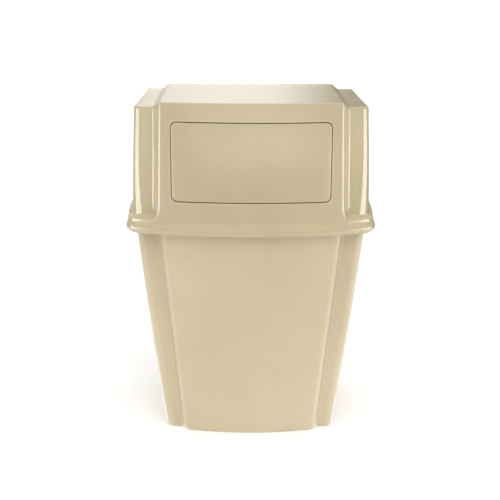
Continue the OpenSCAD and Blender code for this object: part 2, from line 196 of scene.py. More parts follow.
# The screw bosses under the hood's top
BOSS_R = 5
BOSS_BORE_R = 2.1
BOSS_CHAMFER = 0.5
BOSS_ROOF = 2
BOSS_ROOT = 0.6
BOSS_LOW = ROD_LOW.z + 16
boss_places = [(x, y) for x in (-117, 117) for y in (-108.4, -84.4)]

# Faces along each part of an outline, from the wall to the middle of the front
WALL_STEPS, TURN_STEPS = 6, 12
SIDE_STEPS = WALL_STEPS + TURN_STEPS
TURN_REACH = 45
CORNER_STEPS = 10
OUTER_STEPS = 5
RETURN_STEPS = 40
INNER_STEPS = 30
# How far the fine columns reach past the raised panel's edge, outwards and inwards
RETURN_OUT = 17
RETURN_IN = 8
CORNER_END = SIDE_STEPS + CORNER_STEPS
# Where the rings round the door's opening lie, from the opening to the edge of their block
RING_SHARES = (0, 0.1, 0.35, 0.65, 1)
# Faces along other parts
EDGE_STEPS = 5
UPPER_STEPS = 4
TOP_ROWS = 6
TUB_ROWS = 22
FOOT_STEPS = 6
FLOOR_STEPS = 4
LIP_STEPS = 4
# Where large flat faces are cut into cells, so that the wear of their edges stays at their edges. No cut
# crosses the pad of a screw hole.
CELL = 30
CELLS_X, CELLS_Z = range(-195, 196, CELL), range(25, 600, CELL)
# Points this near to a plane or a height lie in it
NEAR = 0.01


def blend(a, b, t):
    return a + (b - a) * t


def clamp(value, low=0.0, high=1.0):
    return max(low, min(high, value))


def soft_min(a, b, r):
    """The lesser of two heights, with a fillet of about r where they meet."""
    if r <= 0:
        return min(a, b)
    near = max(r - abs(a - b), 0) / r
    return min(a, b) - near * near * r / 4


def soft_max(a, b, r):
    return -soft_min(-a, -b, r)


def steps(start, end, count):
    """The ends of count equal steps from start to end, without the start."""
    return [blend(start, end, (k + 1) / count) for k in range(count)]


def stretches(start, *ends):
    """The ends of the steps of several stretches, each given by its end and its count."""
    places = []
    for end, count in ends:
        places += steps(start, end, count)
        start = end
    return places


def quarter_round(radius, count):
    """How far below the top and how far in from the side each point of a rounded edge lies."""
    turns = [math.pi / 2 * k / count for k in range(count + 1)]
    return [(radius * (1 - math.sin(a)), radius * (1 - math.cos(a))) for a in turns]


def circle(radius, count):
    turns = [2 * math.pi * k / count for k in range(count)]
    return [(radius * math.cos(a), radius * math.sin(a)) for a in turns]


# Mesh helpers
def sheet(bm, rows):
    """A grid whose points are moved onto rows of points."""
    across, along = len(rows[0]) - 1, len(rows) - 1
    made = bmesh.ops.create_grid(bm, x_segments=across, y_segments=along, size=0.5)
    for vert in made["verts"]:
        i = round((vert.co.x + 0.5) * across)
        j = round((vert.co.y + 0.5) * along)
        vert.co = rows[j][i]


def on_side(p, sign):
    """A point on the right side, or its mirror image on the left."""
    return Vector((sign * p.x, p.y, p.z))


def mirrored(half):
    """A whole row from its right half, which runs to the middle."""
    return [on_side(p, -1) for p in half] + half[-2::-1]


def merge(bm, distance=0.004):
    bmesh.ops.remove_doubles(bm, verts=bm.verts, dist=distance)


def face_out(bm, point):
    """Turns all faces the same way, so that most of their area looks away from a point."""
    bmesh.ops.recalc_face_normals(bm, faces=bm.faces)
    turn = sum((f.calc_center_median() - point).normalized().dot(f.normal) * f.calc_area()
               for f in bm.faces)
    if turn < 0:
        bmesh.ops.reverse_faces(bm, faces=bm.faces)


def placed(name, data):
    """An object of the scene, at the origin."""
    piece = bpy.data.objects.new(name, data)
    bpy.context.scene.collection.objects.link(piece)
    return piece


def finished(name, bm, material, body, stands_for=()):
    """Makes an object of a mesh in millimetres, and lets it ride on its body, where it has one body."""
    bmesh.ops.transform(bm, matrix=Matrix.Scale(MM, 4), verts=bm.verts)
    mesh = bpy.data.meshes.new(name)
    bm.to_mesh(mesh)
    bm.free()
    mesh.shade_smooth()
    mesh.materials.append(material)
    piece = placed(name, mesh)
    if body:
        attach(piece, body)
    if stands_for:
        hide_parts(*stands_for)
    return piece


def walled(piece, thickness):
    """Gives an open skin its wall, inwards from the skin."""
    wall = piece.modifiers.new("wall", "SOLIDIFY")
    wall.thickness = thickness * MM
    wall.offset = -1
    wall.use_even_offset = True
    wall.use_quality_normals = True
    return piece


def rounded(piece, radius, segments=3, angle=50):
    """Rounds a piece's sharp edges."""
    edge = piece.modifiers.new("edges", "BEVEL")
    edge.width = radius * MM
    edge.segments = segments
    edge.limit_method = "ANGLE"
    edge.angle_limit = math.radians(angle)
    edge.harden_normals = True
    edge.use_clamp_overlap = True


def flat_shaded_flats(piece):
    """Keeps large flat faces flat in the shading, next to their rounded edges."""
    piece.modifiers.new("shading", "WEIGHTED_NORMAL").keep_sharp = False


def in_plane(verts, y):
    """Whether points lie in the upright plane at y."""
    return all(abs(v.co.y - y) < NEAR for v in verts)


def cut_flat(bm, y):
    """Cuts the flat faces in the upright plane at y into cells."""
    cuts = [((x, 0, 0), (1, 0, 0)) for x in CELLS_X] + [((0, 0, z), (0, 0, 1)) for z in CELLS_Z]
    for place, way in cuts:
        flat = [f for f in bm.faces if in_plane(f.verts, y)]
        shape = list(dict.fromkeys(flat + [part for f in flat for part in (*f.edges, *f.verts)]))
        bmesh.ops.bisect_plane(bm, geom=shape, plane_co=place, plane_no=way, dist=0.001)


def flat_loop(bm, y, low_z, high_z):
    """The open edges in an upright plane between two heights."""
    return [e for e in bm.edges if e.is_boundary and in_plane(e.verts, y)
            and all(low_z - NEAR < v.co.z < high_z + NEAR for v in e.verts)]


def joined_ends(bm, y, z):
    """A new edge between the two ends, in the plane at y, of what is open at height z."""
    row = [v for v in bm.verts if v.is_boundary and in_plane([v], y) and abs(v.co.z - z) < NEAR]
    pair = [min((v for v in row if sign * v.co.x > 0), key=lambda v: abs(v.co.x)) for sign in (-1, 1)]
    return bm.edges.new(pair)


def circle_points(x, z, radius, y, count=40):
    return [Vector((x + across, y, z + up)) for across, up in circle(radius, count)]


def ring_edges(bm, points):
    """A closed loop of new edges through points."""
    verts = [bm.verts.new(p) for p in points]
    return [bm.edges.new((verts[k - 1], verts[k])) for k in range(len(verts))]


# Materials. The scale of a noise is per metre, and the distance of a bump is in metres.
def feed(tree, node, inputs):
    """Sets a node's inputs, each to a value or to what another node gives."""
    for name, value in inputs.items():
        if isinstance(value, bpy.types.NodeSocket):
            tree.links.new(value, node.inputs[name])
        else:
            node.inputs[name].default_value = value


def add_node(tree, kind, output, inputs, **settings):
    """Adds a shader node and returns one of its outputs."""
    node = tree.nodes.new("ShaderNode" + kind)
    for name, value in settings.items():
        setattr(node, name, value)
    feed(tree, node, inputs)
    return node.outputs[output]


def noise(tree, place, scale, detail, rough=0.5):
    inputs = {"Vector": place, "Scale": scale, "Detail": detail, "Roughness": rough}
    return add_node(tree, "TexNoise", "Fac", inputs)


def ramp(tree, source, low, high, start, end, curve="LINEAR"):
    """Goes from start to end as a value goes from low to high."""
    inputs = {"Value": source, "From Min": low, "From Max": high, "To Min": start, "To Max": end}
    return add_node(tree, "MapRange", "Result", inputs, interpolation_type=curve)


def mixed(tree, amount, first, second):
    """A mix of two colours."""
    return add_node(tree, "Mix", 2, {0: amount, 6: first, 7: second}, data_type="RGBA")


def bumped(tree, height, strength, distance, **under):
    """A surface raised by a height, over another bump where one is given as its Normal."""
    inputs = {"Height": height, "Strength": strength, "Distance": distance, **under}
    return add_node(tree, "Bump", "Normal", inputs)


def shade(colour, factor=1.0, lift=0.0):
    """A colour made darker or paler."""
    return (*(min(1, c * factor + lift) for c in colour), 1)


def new_material(name):
    """A material, its nodes, its shader and the place on the piece that its patterns read."""
    material = bpy.data.materials.new(name)
    material.use_nodes = True
    tree = material.node_tree
    return material, tree, tree.nodes["Principled BSDF"], add_node(tree, "TexCoord", "Object", {})


def moulded_plastic(name, colour, grain, gloss):
    """Satin moulded plastic: uneven colour and gloss, a fine grain, and paler worn edges."""
    material, tree, shader, place = new_material(name)
    cloud = ramp(tree, noise(tree, place, 6, 3), 0.3, 0.7, 0, 1)
    flow = ramp(tree, noise(tree, place, 38, 4, 0.6), 0.35, 0.65, 0, 0.35)
    wear = ramp(tree, add_node(tree, "NewGeometry", "Pointiness", {}), 0.52, 0.62, 0, 0.5)
    tone = mixed(tree, cloud, shade(colour, 0.93), shade(colour, 1.04, 0.01))
    speckled = mixed(tree, flow, tone, shade(colour))
    patches = noise(tree, place, 90, 3, 0.6)
    fine = bumped(tree, noise(tree, place, 1400, 2), grain, 0.0002)
    wave = bumped(tree, noise(tree, place, 14, 2, 0.4), 0.06, 0.002, Normal=fine)
    feed(tree, shader, {"Specular IOR Level": 0.5, "IOR": 1.5, "Normal": wave,
                        "Base Color": mixed(tree, wear, speckled, shade(colour, 1.12, 0.03)),
                        "Roughness": ramp(tree, patches, 0.3, 0.7, gloss - 0.04, gloss + 0.04)})
    return material


def metal(name, colour, rough, streaks):
    """Plated or drawn steel with fine scratches, drawn out by streaks, and dull patches."""
    material, tree, shader, place = new_material(name)
    patch = ramp(tree, noise(tree, place, 120, 4), 0.3, 0.7, 0, 1)
    scratch = noise(tree, add_node(tree, "Mapping", "Vector", {"Vector": place, "Scale": streaks}), 900, 3)
    feed(tree, shader, {"Metallic": 1.0, "Base Color": mixed(tree, patch, shade(colour, 0.78), shade(colour)),
                        "Roughness": ramp(tree, scratch, 0, 1, rough - 0.08, rough + 0.14),
                        "Normal": bumped(tree, scratch, 0.12, 0.0001)})
    return material


def rubber(name, dark, dusty):
    """Matt rubber with a fine dusty mottle."""
    material, tree, shader, place = new_material(name)
    dust = noise(tree, place, 700, 3)
    feed(tree, shader, {"Base Color": mixed(tree, dust, shade(dark), shade(dusty)),
                        "Roughness": ramp(tree, dust, 0, 1, 0.62, 0.85),
                        "Normal": bumped(tree, dust, 0.25, 0.0002)})
    return material


BEIGE = (0.555, 0.467, 0.29)
CONTAINER_BEIGE = (0.605, 0.505, 0.322)
hood_plastic = moulded_plastic("hood_plastic", BEIGE, 0.2, 0.2)
door_plastic = moulded_plastic("door_plastic", BEIGE, 0.3, 0.21)
container_plastic = moulded_plastic("container_plastic", CONTAINER_BEIGE, 0.2, 0.2)
zinc_steel = metal("zinc_steel", (0.62, 0.63, 0.62), 0.34, (1, 12, 12))
spring_steel = metal("spring_steel", (0.36, 0.36, 0.37), 0.3, (6, 6, 6))
stop_rubber = rubber("stop_rubber", (0.012, 0.012, 0.013), (0.045, 0.044, 0.042))


# Outlines seen from above
def front_columns(edge, corner_x):
    """How far from the middle each front column lies, from the corner inwards."""
    return stretches(corner_x, (edge + RETURN_OUT, OUTER_STEPS), (edge - RETURN_IN, RETURN_STEPS),
                     (0, INNER_STEPS))


def side_places(back_y, corner_y):
    """How far back the columns of the side lie, from the wall to where the corner starts."""
    return [back_y] + stretches(back_y, (corner_y + TURN_REACH, WALL_STEPS), (corner_y, TURN_STEPS))


def half_outline(z, side, radius, base_y, edge, front_y, back_y=WALL_Y, flare=0):
    """The right half of an outline at a height: side, corner, then the front up to the middle.
    base_y gives the place of the face beside the panel, and front_y that of the whole front, at x.
    The side stands out by the flare behind the corner."""
    held = side - flare
    corner_x = held - radius
    # The face is bowed, so a few rounds find where the corner meets it and how it tilts there
    for _ in range(4):
        tilt = math.atan((base_y(corner_x + 1) - base_y(corner_x - 1)) / 2)
        corner_x = held - radius + radius * math.sin(tilt)
    centre_y = base_y(corner_x) + radius * math.cos(tilt)
    points = [Vector((held, y, z)) for y in side_places(back_y, centre_y)[:-1]]
    for k in range(CORNER_STEPS + 1):
        a = (math.pi / 2 - tilt) * k / CORNER_STEPS
        points.append(Vector((held - radius + radius * math.cos(a), centre_y - radius * math.sin(a), z)))
    if flare > 0:
        fillet = FILLET * clamp(flare / FLARE_FULL)
        for p in [p for p in points if p.y > centre_y - FLARE_START * radius]:
            slope = side + FLARE_TURN * (p.y - centre_y - FLARE_RUN)
            p.x = soft_max(p.x, soft_min(side, slope, fillet), fillet)
    return points + [Vector((x, front_y(x), z)) for x in front_columns(edge, corner_x)]


# The hood's outer skin
def panel_half(z):
    return PANEL_W / 2 + (TOP_Z - z) * PANEL_DRAFT


def face_y(z):
    return WALL_Y - FACE_DEPTH - (TOP_Z - z) * HOOD_DRAFT


def bow_y(z, x, radius=BOW_R):
    return face_y(z) + radius - math.sqrt(radius * radius - x * x)


def shoulder_half(z):
    return SHOULDER_W / 2 + (SHOULDER_Z - z) * HOOD_DRAFT


def shoulder_y(z):
    return WALL_Y - SHOULDER_DEPTH - (SHOULDER_Z - z) * HOOD_DRAFT


def rim_swell(z):
    """How far the rim's rounded bead stands out at a height."""
    if z >= SWELL_TOP:
        return 0
    if z >= BEAD_Z:
        return BEAD_OUT * math.cos(math.pi / 2 * (z - BEAD_Z) / (SWELL_TOP - BEAD_Z)) ** 2
    under = (BEAD_Z - z) / (BEAD_Z - RIM_FOOT)
    return BEAD_OUT - (BEAD_OUT + RIM_TUCK) * (1 - math.sqrt(max(0, 1 - under * under)))


def side_half(z):
    """Half the width over the sides behind the corners: the wall, then a flare, then the rim."""
    rim = RIM_W / 2 + rim_swell(z)
    if z < BEAD_Z:
        return rim
    wide = RIM_W / 2 + FLARE_OUT
    flare = blend(wide, shoulder_half(FLARE_TOP), (z - FLARE_LOW) / (FLARE_TOP - FLARE_LOW))
    return max(rim if z < LEDGE_Z else 0, soft_min(wide, soft_max(shoulder_half(z), flare, FILLET), FILLET))


def corner_radius(z, rise):
    """The upright corners grow rounder towards the ledge, and are rounder again at the rim."""
    wall = CORNER_R + CORNER_GROWTH * clamp((GROWTH_TOP - z) / GROWTH_H) ** 2
    return max(wall, RIM_CORNER_R - rise)


def hood_outline(z):
    """The right half of the hood's outer skin at a height."""
    edge = panel_half(z)
    rise = soft_max(LEDGE_SLOPE * (z - LEDGE_Z), 0, LEDGE_FILLET)

    def base_y(x):
        return soft_min(shoulder_y(z), bow_y(z, x) + rise, LEDGE_FILLET) - rim_swell(z)

    # The panel's return, whose two lines meet in a point on the ledge
    share = clamp((z - LEDGE_Z) / TIP_H)
    inner = edge + TIP_PLACE * PANEL_BEVEL * (1 - share)
    steepness = PANEL_STEP / PANEL_BEVEL / max(share, TIP_LEAST)

    def front_y(x):
        raised = soft_max(bow_y(z, x), bow_y(z, inner) + steepness * (x - inner), FILLET)
        fillet = FILLET * clamp(1 + (x - inner) / RETURN_IN) * clamp(TIP_FADE * share)
        return soft_min(raised, base_y(x), fillet)

    # The ledge runs on round the corner, and the side flares out behind it
    held = soft_max(shoulder_half(z), RIM_W / 2 + rim_swell(z) - rise, LEDGE_FILLET)
    side = max(side_half(z), held)
    return half_outline(z, side, corner_radius(z, rise), base_y, edge, front_y, flare=side - held)


def top_edge(y):
    """Half the width of the raised top, which spreads towards the wall."""
    front = face_y(TOP_Z)
    return PANEL_W / 2 + PANEL_SPREAD * clamp((y - front) / (WALL_Y - front))


def top_z(x, y):
    slope = TOP_Z - SHOULDER_DROP / TOP_BEVEL * (abs(x) - top_edge(y))
    return soft_max(SHOULDER_Z, soft_min(TOP_Z, slope, FILLET), FILLET)


# The block of faces that holds the door's opening, and the heights of the rows of the hood's wall: round the
# bead, up the ledge, and up the block, closest where the surface curves most
BLOCK_LOW, BLOCK_HIGH = OPENING_TOP - OPENING_H - 10, OPENING_TOP + 13
bead_rows = [BEAD_Z - (BEAD_Z - RIM_FOOT) * math.cos(math.pi / 2 * k / 8) for k in range(9)]
ledge_rows = stretches(BEAD_Z, (LEDGE_Z - 2, 9), (LEDGE_Z + 2, 12), (LEDGE_Z + 13, 24), (LEDGE_Z + 19, 4))
block_rows = stretches(BLOCK_LOW, (BLOCK_LOW + 24, 9), (BLOCK_HIGH - 27, 12), (BLOCK_HIGH, 10))
level_rows = bead_rows + ledge_rows + [BLOCK_LOW] + block_rows


def upper_outlines():
    """Rows above the opening's block, which follow the top's height, and those of the top's rounded edge."""
    heights = [top_z(p.x, p.y) - EDGE_R for p in hood_outline(BLOCK_HIGH)]
    rows = []
    for k in range(1, UPPER_STEPS + 1):
        reached = [blend(BLOCK_HIGH, height, k / UPPER_STEPS) for height in heights]
        rows.append([hood_outline(z)[i] for i, z in enumerate(reached)])
    last = rows[-1]
    inwards = [Vector((-1, 0, 0))]
    for before, after in zip(last, last[2:] + last[-1:]):
        along = after - before
        inwards.append(Vector((along.y, -along.x, 0)).normalized())
    inwards[-1] = Vector((0, 1, 0))
    for drop, inset in quarter_round(EDGE_R, EDGE_STEPS)[1:]:
        row = [p + inset * n for p, n in zip(last, inwards)]
        for p in row:
            p.z = top_z(p.x, p.y) - drop
        rows.append(row)
    return rows


def add_top(bm, rim):
    """The hood's top, inside the last row of its rounded edge."""
    centre = Vector((rim[CORNER_END].x, rim[SIDE_STEPS].y, 0))

    def columns(y):
        return [centre.x] + front_columns(top_edge(y), centre.x)

    half_rows = []
    for k in range(TOP_ROWS + 1):
        share = k / TOP_ROWS
        half_rows.append([Vector((blend(p.x, x, share), blend(p.y, centre.y, share), 0))
                          for p, x in zip(rim[CORNER_END:], columns(centre.y))])
    for y in side_places(WALL_Y, centre.y)[-2::-1]:
        half_rows.append([Vector((x, y, 0)) for x in columns(y)])
    for row in half_rows:
        for p in row:
            p.z = top_z(p.x, p.y)
    sheet(bm, [mirrored(row) for row in half_rows])
    # Beside it, the strip along each side and the fan in each front corner
    inner = [row[0] for row in half_rows[TOP_ROWS:]][::-1]
    fan = [half_rows[TOP_ROWS][0]] * (CORNER_STEPS + 1)
    for sign in (-1, 1):
        for outside, inside in ((rim[:SIDE_STEPS + 1], inner), (rim[SIDE_STEPS:CORNER_END + 1], fan)):
            sheet(bm, [[on_side(p, sign) for p in outside], [on_side(p, sign) for p in inside]])


def opening_point(x, z, grow):
    """The point of the opening's outline nearest to a point outside it, moved out by grow."""
    hub = Vector((clamp(x, OPENING_R - OPENING_HALF_W, OPENING_HALF_W - OPENING_R), 0,
                  clamp(z, OPENING_Z - OPENING_H / 2 + OPENING_R, OPENING_TOP - OPENING_R)))
    away = Vector((x, 0, z)) - hub
    p = hub + away.normalized() * (OPENING_R + grow)
    p.y = bow_y(p.z, p.x)
    return p


def add_front_opening(bm):
    """Swaps the faces round the door's opening for rings that run from the opening to the block's edge."""
    first = CORNER_END + OUTER_STEPS + RETURN_STEPS
    block = []
    for f in bm.faces:
        c = f.calc_center_median()
        if c.y < 0 and BLOCK_LOW < c.z < BLOCK_HIGH and abs(c.x) < panel_half(c.z) - RETURN_IN:
            block.append(f)
    bmesh.ops.delete(bm, geom=block, context="FACES")
    low = mirrored(hood_outline(BLOCK_LOW)[first:])
    high = mirrored(hood_outline(BLOCK_HIGH)[first:])
    right = [hood_outline(z)[first] for z in block_rows]
    left = [on_side(p, -1) for p in right]
    outside = low + right + high[-2::-1] + left[-2::-1] + [low[0]]
    rings = []
    for share in RING_SHARES:
        ring = [opening_point(p.x, p.z, -GAP_TRIM).lerp(p, share) for p in outside]
        for p in ring:
            p.y = bow_y(p.z, p.x)
        rings.append(ring)
    sheet(bm, rings)


def close_back(bm, low_z):
    """Fills the plane of the wall above a height, between the left and the right side."""
    merge(bm)
    edges = flat_loop(bm, WALL_Y, low_z, TOP_Z) + [joined_ends(bm, WALL_Y, low_z)]
    bmesh.ops.contextual_create(bm, geom=edges)
    cut_flat(bm, WALL_Y)


def build_hood():
    bm = bmesh.new()
    rows = [hood_outline(z) for z in level_rows]
    # One row lies at the height where the hood's back wall ends
    rows.insert(next(k for k, z in enumerate(level_rows) if z > SEAT_Z), hood_outline(SEAT_Z))
    rows += upper_outlines()
    sheet(bm, [mirrored(row) for row in rows])
    add_top(bm, rows[-1])
    merge(bm)
    add_front_opening(bm)
    close_back(bm, SEAT_Z)
    face_out(bm, Vector((0, 0, SEAT_Z)))
    hood = finished("hood", bm, hood_plastic, "hood", ["hood_shell"])
    rounded(walled(hood, HOOD_WALL), HOOD_CUT_R)


# The container
def tub_outline(z, inset=0.0, back_y=WALL_Y):
    """The container's right half at a height, set in, from the plane of its back."""
    t = z / SEAT_Z
    side = blend(BASE_W, MOUTH_W, t) / 2 + SIDE_CROWN * 4 * t * (1 - t) - inset
    corner_y = WALL_Y - blend(BASE_DEPTH, MOUTH_DEPTH, t) + inset
    edge = blend(BASE_PANEL_W, MOUTH_PANEL_W, t) / 2 - inset / 2
    step = blend(BASE_STEP, MOUTH_STEP, t)
    bow = blend(BASE_BOW, MOUTH_BOW, t)
    bow_r = (edge * edge + bow * bow) / (2 * bow)
    front = corner_y - step - bow

    def front_y(x):
        past = x - edge
        bowed = front + bow_r - math.sqrt(bow_r * bow_r - x * x)
        slope = corner_y - step + step / TUB_BEVEL * past
        hollow_r = TUB_HOLLOW_R * clamp(1 + past / RETURN_IN)
        return soft_min(soft_max(bowed, slope, TUB_EDGE_R), corner_y, hollow_r)

    radius = blend(BASE_R, MOUTH_R, t) - inset
    return half_outline(z, side, radius, lambda x: corner_y, edge, front_y, back_y)


def lip_outline(z, inset):
    """A face of the container's lip, set in from the hood's rim."""
    def lip_y(x):
        return bow_y(SEAT_Z, x) + inset

    return half_outline(z, RIM_W / 2 - inset, LIP_CORNER_R + LIP_OUT - inset, lip_y, MOUTH_PANEL_W / 2, lip_y)


def lip_rows():
    """Rows up the groove behind the lip's edge, where it has one, and round the edge to the top."""
    low = SEAT_Z - LIP_H
    wall = tub_outline(low)
    edge = lip_outline(low, LIP_OUT + LIP_T)
    wall_row, roof_row, foot_row = [], [], []
    for i in range(len(wall)):
        gap = wall[i].y - edge[i].y if i > CORNER_END else (wall[i] - edge[i]).length
        depth = (LIP_H - LIP_T) * clamp((gap - GROOVE_LEAST) / GROOVE_FADE)
        wall_row.append(tub_outline(low + depth)[i])
        roof_row.append(edge[i] + Vector((0, 0, depth)) if depth else wall[i])
        foot_row.append(edge[i] if depth else wall[i])
    edge_rows = [lip_outline(SEAT_Z - drop, LIP_OUT + inset)
                 for drop, inset in quarter_round(LIP_R, LIP_STEPS)]
    return [wall, wall_row, roof_row, foot_row, lip_outline(low, LIP_OUT)] + edge_rows


def sharp_edges(bm, least_angle):
    """Edges that stand out sharply, not those in a hollow."""
    return [e for e in bm.edges
            if len(e.link_faces) == 2 and e.calc_face_angle_signed(0) > math.radians(least_angle)]


def wall_holes(bm, y, radius):
    """Opens the flat face in the plane at y, and fills it again round the four screw places."""
    face = max((f for f in bm.faces if in_plane(f.verts, y)), key=lambda f: f.calc_area())
    perimeter = list(face.edges)
    bmesh.ops.delete(bm, geom=[face], context="FACES_ONLY")
    loops = [ring_edges(bm, circle_points(x, z, radius, y)) for x, z in hole_places]
    bmesh.ops.triangle_fill(bm, use_beauty=True, edges=perimeter + [e for loop in loops for e in loop])
    return loops


def build_container():
    bm = bmesh.new()
    inner_y = WALL_Y - TUB_WALL
    outer = [tub_outline(low, inset) for low, inset in quarter_round(FOOT_R, FOOT_STEPS)[::-1]]
    outer += [tub_outline(z) for z in steps(FOOT_R, SEAT_Z - LIP_H, TUB_ROWS)][:-1]
    inner = [tub_outline(z, TUB_WALL, inner_y)
             for z in [SEAT_Z] + steps(SEAT_Z, TUB_FLOOR + FLOOR_R, TUB_ROWS)]
    inner += [tub_outline(TUB_FLOOR + low, TUB_WALL + inset, inner_y)
              for low, inset in quarter_round(FLOOR_R, FLOOR_STEPS)[1:]]
    sheet(bm, [mirrored(row) for row in outer + lip_rows() + inner])
    merge(bm, distance=0.02)
    for y, low_z in ((WALL_Y, 0), (inner_y, TUB_FLOOR)):
        ends = [joined_ends(bm, y, z) for z in (low_z, SEAT_Z)]
        bmesh.ops.contextual_create(bm, geom=flat_loop(bm, y, low_z, SEAT_Z) + ends)
    # The wall's top edge at the back, the base and the floor inside
    bmesh.ops.holes_fill(bm, edges=[e for e in bm.edges if e.is_boundary])
    below = Vector((0, 0, -50))
    face_out(bm, below)
    bmesh.ops.bevel(bm, geom=sharp_edges(bm, 50), offset=TUB_CUT_R, offset_type="OFFSET", segments=3,
                    profile=0.5, affect="EDGES", clamp_overlap=True, material=-1)
    # Each screw hole: its chamfer in the back, its bore, its pad and the pad's edge
    back = wall_holes(bm, WALL_Y, HOLE_R + HOLE_CHAMFER)
    front = wall_holes(bm, inner_y, PAD_R)
    pad_y = inner_y - PAD_T
    rings = ((HOLE_R, WALL_Y - HOLE_CHAMFER), (HOLE_R, pad_y + HOLE_CHAMFER), (HOLE_R + HOLE_CHAMFER, pad_y),
             (PAD_R - PAD_EDGE, pad_y), (PAD_R, pad_y + PAD_EDGE))
    for (x, z), first, last in zip(hole_places, back, front):
        chain = [first] + [ring_edges(bm, circle_points(x, z, r, y)) for r, y in rings] + [last]
        for a, b in zip(chain, chain[1:]):
            bmesh.ops.bridge_loops(bm, edges=a + b)
    cut_flat(bm, WALL_Y)
    cut_flat(bm, inner_y)
    bmesh.ops.recalc_face_normals(bm, faces=bm.faces)
    tub = finished("container_shell", bm, container_plastic, "container", ["container"])
    flat_shaded_flats(tub)


# The door
def rounded_path(grow, top=None, corner_steps=12):
    """The opening's outline, grown, as places x and z, counterclockwise from its top left corner.
    With top given, only its lower half, with both ends carried up to that height."""
    points = []
    for side, level, start in ((-1, 1, 90), (-1, -1, 180), (1, -1, 270), (1, 1, 0)):
        x, z = side * (OPENING_HALF_W - OPENING_R), OPENING_Z + level * (OPENING_H / 2 - OPENING_R)
        for k in range(corner_steps + 1):
            a = math.radians(start + 90 * k / corner_steps)
            points.append((x + (OPENING_R + grow) * math.cos(a), z + (OPENING_R + grow) * math.sin(a)))
    if top is not None:
        points = [p for p in points if p[1] < OPENING_Z]
        points = [(points[0][0], top)] + points + [(points[-1][0], top)]
    return points


def add_plate(bm):
    """The door's plate: its outline, cut into upright strips that follow the bow, given its thickness."""
    bm.faces.new([bm.verts.new((x, 0, z)) for x, z in rounded_path(GAP_TRIM - DOOR_GAP)])
    reach = OPENING_HALF_W - DOOR_GAP + GAP_TRIM
    for k in range(1, int(2 * reach / PLATE_STRIP) + 1):
        bmesh.ops.bisect_plane(bm, geom=bm.verts[:] + bm.edges[:] + bm.faces[:],
                               plane_co=(PLATE_STRIP * k - reach, 0, 0), plane_no=(1, 0, 0), dist=0.001)
    for v in bm.verts:
        v.co.y = bow_y(v.co.z, v.co.x)
    back = bmesh.ops.extrude_face_region(bm, geom=bm.faces[:])
    moved = [v for v in back["geom"] if isinstance(v, bmesh.types.BMVert)]
    bmesh.ops.translate(bm, verts=moved, vec=(0, DOOR_T, 0))
    rim = [e for e in bm.edges if e.calc_face_angle(0) > 1
           and all(abs(v.co.y - bow_y(v.co.z, v.co.x)) < NEAR for v in e.verts)]
    bmesh.ops.bevel(bm, geom=rim, offset=DOOR_EDGE_R, offset_type="OFFSET", segments=5, profile=0.5,
                    affect="EDGES", clamp_overlap=True, material=-1)


def subdivided(path, counts):
    """Adds points along a path, which cut each stretch of it into its count of steps."""
    points = path[:1]
    for a, b, count in zip(path, path[1:], counts):
        points += zip(steps(a[0], b[0], count), steps(a[1], b[1], count))
    return points


def add_channel(bm, length=9.0):
    """The frame behind the plate and its stop flange, open at the top, in steps of about a length."""
    top = OPENING_TOP - DOOR_GAP - FRAME_W
    inner, outer, lap = -DOOR_GAP - FRAME_W, -DOOR_GAP, FLANGE_LAP
    start, near, far = DOOR_T - FRAME_ROOT, FLANGE_NEAR, FLANGE_NEAR + FLANGE_T
    path = rounded_path(outer, top)
    counts = [max(1, round(math.dist(a, b) / length)) for a, b in zip(path, path[1:])]
    rows = []
    for grow, depth in ((outer, start), (outer, near), (lap, near), (lap, far), (inner, far), (inner, start),
                        (outer, start)):
        path = subdivided(rounded_path(grow, top), counts)
        rows.append([Vector((x, bow_y(z, x) + depth, z)) for x, z in path])
    sheet(bm, rows)


def add_ear(bm, x):
    """An ear on the door's back, with the hole that the hinge rod passes through."""
    reach = ROD.y - bow_y(OPENING_TOP, abs(x)) - DOOR_T / 2
    root_top = OPENING_TOP - DOOR_GAP - FRAME_W - ROD.z
    root_low = root_top - EAR_ROOT
    outline = [(-reach, root_top), (-reach, root_low), (-reach + DOOR_T, root_low)]
    outline += [(EAR_R * math.cos(math.radians(a)), EAR_R * math.sin(math.radians(a)))
                for a in range(-45, 181, 15)]
    edges = [e for loop in (outline, circle(EAR_BORE_R, 32))
             for e in ring_edges(bm, [Vector((x - EAR_T / 2, ROD.y + y, ROD.z + z)) for y, z in loop])]
    made = bmesh.ops.triangle_fill(bm, use_beauty=True, edges=edges)
    faces = [f for f in made["geom"] if isinstance(f, bmesh.types.BMFace)]
    grown = bmesh.ops.extrude_face_region(bm, geom=faces)
    moved = [v for v in grown["geom"] if isinstance(v, bmesh.types.BMVert)]
    bmesh.ops.translate(bm, verts=moved, vec=(EAR_T, 0, 0))


def closed_shell(make, *args):
    """Builds one closed shell with its faces outwards, as a mesh to be added to a piece."""
    bm = bmesh.new()
    make(bm, *args)
    merge(bm)
    rim = [e for e in bm.edges if e.is_boundary]
    if rim:
        bmesh.ops.holes_fill(bm, edges=rim)
    bmesh.ops.recalc_face_normals(bm, faces=bm.faces)
    mesh = bpy.data.meshes.new("shell")
    bm.to_mesh(mesh)
    bm.free()
    return mesh


def build_door():
    bm = bmesh.new()
    for mesh in (closed_shell(add_plate), closed_shell(add_channel), closed_shell(add_ear, -EAR_X),
                 closed_shell(add_ear, EAR_X)):
        bm.from_mesh(mesh)
        bpy.data.meshes.remove(mesh)
    door = finished("door", bm, door_plastic, "door", ["door_panel"])
    rounded(door, DOOR_CUT_R, angle=40)


